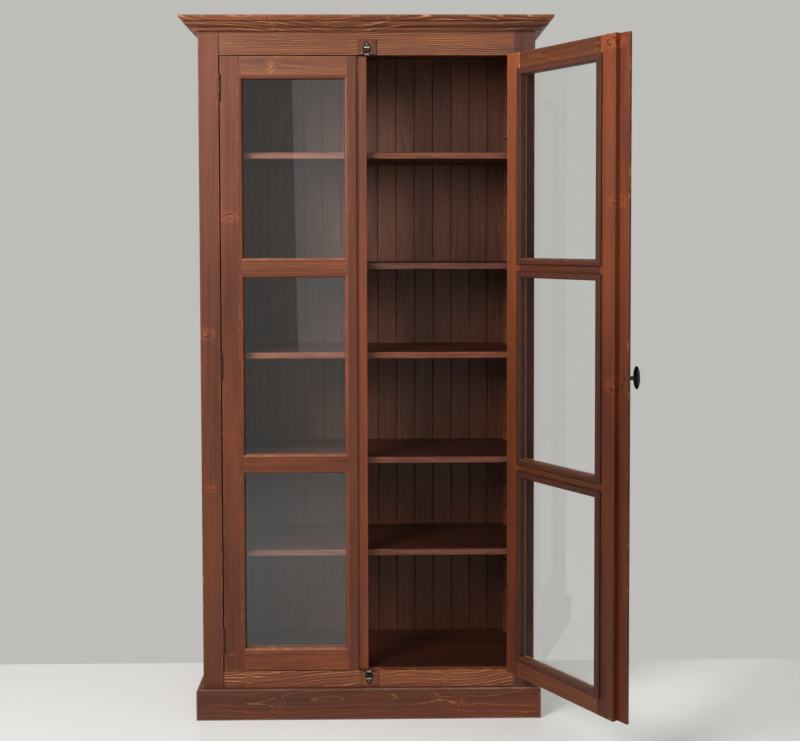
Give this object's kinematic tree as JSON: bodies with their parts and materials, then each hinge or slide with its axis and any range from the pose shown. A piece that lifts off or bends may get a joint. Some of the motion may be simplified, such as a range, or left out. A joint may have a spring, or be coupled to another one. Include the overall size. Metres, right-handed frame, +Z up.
{
  "type": "glazed bookcase",
  "caption": "Tall stained-pine bookcase with glazed hinged doors, moulded cornice, plinth, notched corner racks with shelves, and sprung roller catches.",
  "frame": {"origin": "on the floor, at the middle of the bookcase's back edge", "axes": "+Z up, -Y out of the front, +X to the right seen from the front"},
  "size_m": [1.2203, 0.728, 2],
  "materials": {
    "stained_pine": "satin red-brown stain over brushed grain",
    "inner_pine": "same stain, darker inside",
    "clear_glass": "clear float glass",
    "dark_bronze": "dark bronze paint",
    "aged_brass": "dull aged brass",
    "bright_steel": "bright steel",
    "black_iron": "black, satin"
  },
  "bodies": {
    "carcass": {"left_side_panel": "stained_pine", "right_side_panel": "stained_pine", "left_front_post": "stained_pine", "right_front_post": "stained_pine", "frieze_rail": "stained_pine", "bottom_rail": "stained_pine", "cornice_top_board": "stained_pine", "crown_front": "stained_pine", "crown_left": "stained_pine", "crown_right": "stained_pine", "plinth_front": "stained_pine", "plinth_left": "stained_pine", "plinth_right": "stained_pine", "plinth_back": "stained_pine", "catch_blocks": "stained_pine", "inner_top_panel": "inner_pine", "floor_panel": "inner_pine", "back_boards": "inner_pine", "shelf_racks": "inner_pine", "shelf_cleats": "inner_pine", "lower_shelf": "inner_pine", "middle_shelf": "inner_pine", "upper_shelf": "inner_pine", "lower_fixed_shelf": "inner_pine", "upper_fixed_shelf": "inner_pine", "hinge_frame_leaves": "dark_bronze", "hinge_pins": "dark_bronze", "catch_housings": "aged_brass", "catch_screws": "aged_brass", "hinge_frame_screws": "bright_steel", "top_catch_spring": "bright_steel", "bottom_catch_spring": "bright_steel"},
    "left_door": {"left_door_hinge_stile": "stained_pine", "left_door_meeting_stile": "stained_pine", "left_door_top_rail": "stained_pine", "left_door_mid_rails": "stained_pine", "left_door_bottom_rail": "stained_pine", "left_door_mouldings": "stained_pine", "left_door_glazing_beads": "stained_pine", "left_door_panes": "clear_glass", "left_door_hinge_leaves": "dark_bronze", "left_door_hinge_screws": "bright_steel"},
    "right_door": {"right_door_hinge_stile": "stained_pine", "right_door_meeting_stile": "stained_pine", "right_door_top_rail": "stained_pine", "right_door_mid_rails": "stained_pine", "right_door_bottom_rail": "stained_pine", "right_door_mouldings": "stained_pine", "right_door_glazing_beads": "stained_pine", "right_door_panes": "clear_glass", "right_door_hinge_leaves": "dark_bronze", "right_door_hinge_screws": "bright_steel", "knob_screw": "bright_steel", "strike_plates": "bright_steel", "knob": "black_iron", "knob_backplate": "black_iron"},
    "top_catch_plunger": {"top_catch_plunger": "aged_brass"},
    "top_catch_roller": {"top_catch_roller": "bright_steel"},
    "bottom_catch_plunger": {"bottom_catch_plunger": "aged_brass"},
    "bottom_catch_roller": {"bottom_catch_roller": "bright_steel"}
  },
  "joints": [
    {"name": "left_door_swing", "type": "hinge", "parent": "carcass", "child": "left_door", "pos_m": [-0.41675, -0.3534, 1], "axis": [0, 0, -1], "range_deg": [0, 150]},
    {"name": "right_door_swing", "type": "hinge", "parent": "carcass", "child": "right_door", "pos_m": [0.41675, -0.3534, 1], "axis": [0, 0, 1], "range_deg": [-124.5, 25.5]},
    {"name": "top_catch_slide", "type": "slide", "parent": "carcass", "child": "top_catch_plunger", "axis": [0, 0, 1], "range_m": [0, 0.002], "stiffness_N_per_m": 300, "deforming": ["top_catch_spring"]},
    {"name": "top_roller_spin", "type": "hinge", "parent": "top_catch_plunger", "child": "top_catch_roller", "pos_m": [0, -0.348, 1.898], "axis": [1, 0, 0], "continuous": true},
    {"name": "bottom_catch_slide", "type": "slide", "parent": "carcass", "child": "bottom_catch_plunger", "axis": [0, 0, -1], "range_m": [0, 0.002], "stiffness_N_per_m": 300, "deforming": ["bottom_catch_spring"]},
    {"name": "bottom_roller_spin", "type": "hinge", "parent": "bottom_catch_plunger", "child": "bottom_catch_roller", "pos_m": [0, -0.348, 0.132], "axis": [1, 0, 0], "continuous": true}
  ]
}
